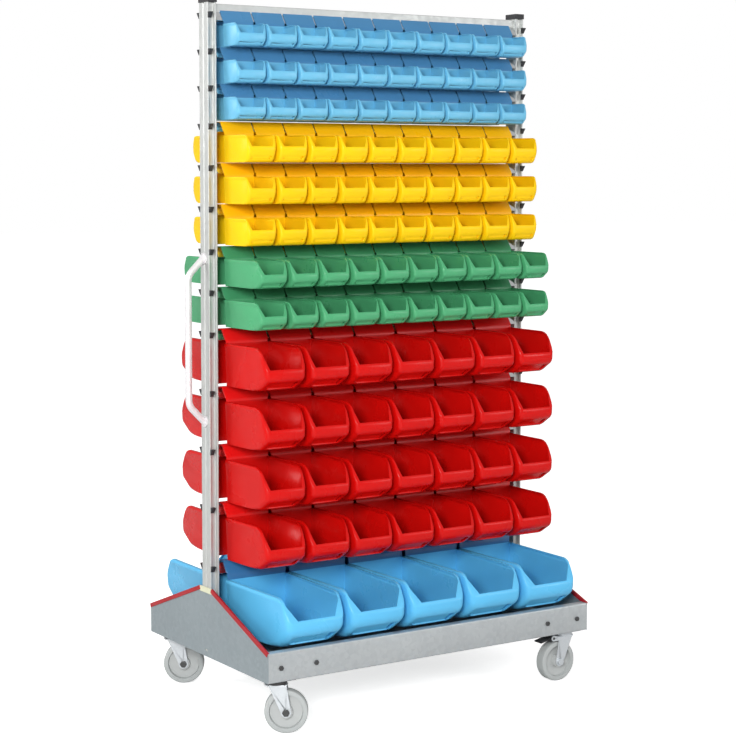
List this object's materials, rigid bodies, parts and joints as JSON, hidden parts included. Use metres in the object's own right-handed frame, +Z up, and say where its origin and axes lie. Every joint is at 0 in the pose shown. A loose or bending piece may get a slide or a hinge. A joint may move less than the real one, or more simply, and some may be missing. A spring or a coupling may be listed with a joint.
{
  "type": "mobile storage bin rack",
  "caption": "Double-sided mobile rack with rows of open-front plastic storage bins hooked on folded steel rails, over a sheet-metal base with swivel casters and a push handle.",
  "frame": {"origin": "on the floor under the middle of the overall bounding box, handle included", "axes": "+X along the rack, from the end with the push handle to the other end; the front side of bins faces -Y; +Z up"},
  "size_m": [1.2166, 0.7828, 2.0933],
  "materials": {
    "galvanised_steel": "galvanised, satin",
    "dark_bolt_steel": "blackened, satin",
    "red_edge_trim": "satin",
    "cream_plastic": "satin",
    "dark_plastic": "satin",
    "zinc_steel": "bright zinc",
    "grey_wheel": "matte",
    "dark_pedal": "satin",
    "light_blue_plastic": "moulded, satin gloss",
    "yellow_plastic": "moulded, satin gloss",
    "green_plastic": "moulded, satin gloss",
    "red_plastic": "moulded, gloss",
    "blue_plastic": "moulded, satin gloss"
  },
  "bodies": {
    "frame": {"front_skirt": "galvanised_steel", "rear_skirt": "galvanised_steel", "skirt_bolts": "dark_bolt_steel", "left_end_panel": "galvanised_steel", "right_end_panel": "galvanised_steel", "left_edge_trims": "red_edge_trim", "right_edge_trims": "red_edge_trim", "gable_clips": "cream_plastic", "deck": "galvanised_steel", "left_crossmember": "galvanised_steel", "right_crossmember": "galvanised_steel", "left_upright": "galvanised_steel", "right_upright": "galvanised_steel", "upright_caps": "dark_plastic", "upright_shoes": "galvanised_steel", "top_bar": "galvanised_steel", "front_rails": "galvanised_steel", "rear_rails": "galvanised_steel", "rail_plugs": "dark_plastic", "push_handle": "galvanised_steel", "handle_flanges": "galvanised_steel", "front_left_caster_plate": "zinc_steel", "front_right_caster_plate": "zinc_steel", "rear_left_caster_plate": "zinc_steel", "rear_right_caster_plate": "zinc_steel", "front_small_blue_bins": "light_blue_plastic", "front_yellow_bins": "yellow_plastic", "front_green_bins": "green_plastic", "front_red_bins": "red_plastic", "front_large_blue_bins": "blue_plastic", "rear_small_blue_bins": "light_blue_plastic", "rear_yellow_bins": "yellow_plastic", "rear_green_bins": "green_plastic", "rear_red_bins": "red_plastic", "rear_large_blue_bins": "blue_plastic"},
    "front_left_caster": {"front_left_fork": "zinc_steel", "front_left_axle": "dark_bolt_steel"},
    "front_left_wheel": {"front_left_wheel": "grey_wheel"},
    "front_right_caster": {"front_right_fork": "zinc_steel", "front_right_axle": "dark_bolt_steel"},
    "front_right_wheel": {"front_right_wheel": "grey_wheel"},
    "front_right_pedal": {"front_right_pedal": "dark_pedal"},
    "rear_left_caster": {"rear_left_fork": "zinc_steel", "rear_left_axle": "dark_bolt_steel"},
    "rear_left_wheel": {"rear_left_wheel": "grey_wheel"},
    "rear_right_caster": {"rear_right_fork": "zinc_steel", "rear_right_axle": "dark_bolt_steel"},
    "rear_right_wheel": {"rear_right_wheel": "grey_wheel"},
    "rear_right_pedal": {"rear_right_pedal": "dark_pedal"},
    "loose_small_blue_bin": {"loose_small_blue_bin": "light_blue_plastic"},
    "loose_yellow_bin": {"loose_yellow_bin": "yellow_plastic"},
    "loose_green_bin": {"loose_green_bin": "green_plastic"},
    "loose_red_bin": {"loose_red_bin": "red_plastic"},
    "loose_large_blue_bin": {"loose_large_blue_bin": "blue_plastic"}
  },
  "joints": [
    {"name": "front_left_swivel", "type": "hinge", "parent": "frame", "child": "front_left_caster", "pos_m": [-0.48925, -0.313, 0.139], "axis": [0, 0, 1], "continuous": true},
    {"name": "front_left_roll", "type": "hinge", "parent": "front_left_caster", "child": "front_left_wheel", "pos_m": [-0.46569, -0.32813, 0.0625], "axis": [0.5402, 0.8415, 0], "continuous": true},
    {"name": "front_right_swivel", "type": "hinge", "parent": "frame", "child": "front_right_caster", "pos_m": [0.54875, -0.313, 0.139], "axis": [0, 0, 1], "continuous": true},
    {"name": "front_right_roll", "type": "hinge", "parent": "front_right_caster", "child": "front_right_wheel", "pos_m": [0.52075, -0.313, 0.0625], "axis": [0, -1, 0], "continuous": true},
    {"name": "front_right_brake", "type": "hinge", "parent": "front_right_caster", "child": "front_right_pedal", "pos_m": [0.49675, -0.313, 0.138], "axis": [0, -1, 0], "range_deg": [0, 14]},
    {"name": "rear_left_swivel", "type": "hinge", "parent": "frame", "child": "rear_left_caster", "pos_m": [-0.48925, 0.313, 0.139], "axis": [0, 0, 1], "continuous": true},
    {"name": "rear_left_roll", "type": "hinge", "parent": "rear_left_caster", "child": "rear_left_wheel", "pos_m": [-0.46569, 0.29787, 0.0625], "axis": [0.5402, 0.8415, 0], "continuous": true},
    {"name": "rear_right_swivel", "type": "hinge", "parent": "frame", "child": "rear_right_caster", "pos_m": [0.54875, 0.313, 0.139], "axis": [0, 0, 1], "continuous": true},
    {"name": "rear_right_roll", "type": "hinge", "parent": "rear_right_caster", "child": "rear_right_wheel", "pos_m": [0.5245, 0.327, 0.0625], "axis": [-0.5, -0.866, 0], "continuous": true},
    {"name": "rear_right_brake", "type": "hinge", "parent": "rear_right_caster", "child": "rear_right_pedal", "pos_m": [0.50372, 0.339, 0.138], "axis": [-0.5, -0.866, 0], "range_deg": [0, 14]},
    {"name": "small_blue_bin_lift", "type": "slide", "parent": "frame", "child": "loose_small_blue_bin", "axis": [0, -0.5812, 0.8137], "range_m": [0, 0.08]},
    {"name": "yellow_bin_lift", "type": "slide", "parent": "frame", "child": "loose_yellow_bin", "axis": [0, -0.5812, 0.8137], "range_m": [0, 0.01]},
    {"name": "green_bin_lift", "type": "slide", "parent": "frame", "child": "loose_green_bin", "axis": [0, -0.5812, 0.8137], "range_m": [0, 0.018]},
    {"name": "red_bin_lift", "type": "slide", "parent": "frame", "child": "loose_red_bin", "axis": [0, -0.5812, 0.8137], "range_m": [0, 0.008]},
    {"name": "large_blue_bin_lift", "type": "slide", "parent": "frame", "child": "loose_large_blue_bin", "axis": [0, -0.5812, 0.8137], "range_m": [0, 0.01]}
  ]
}
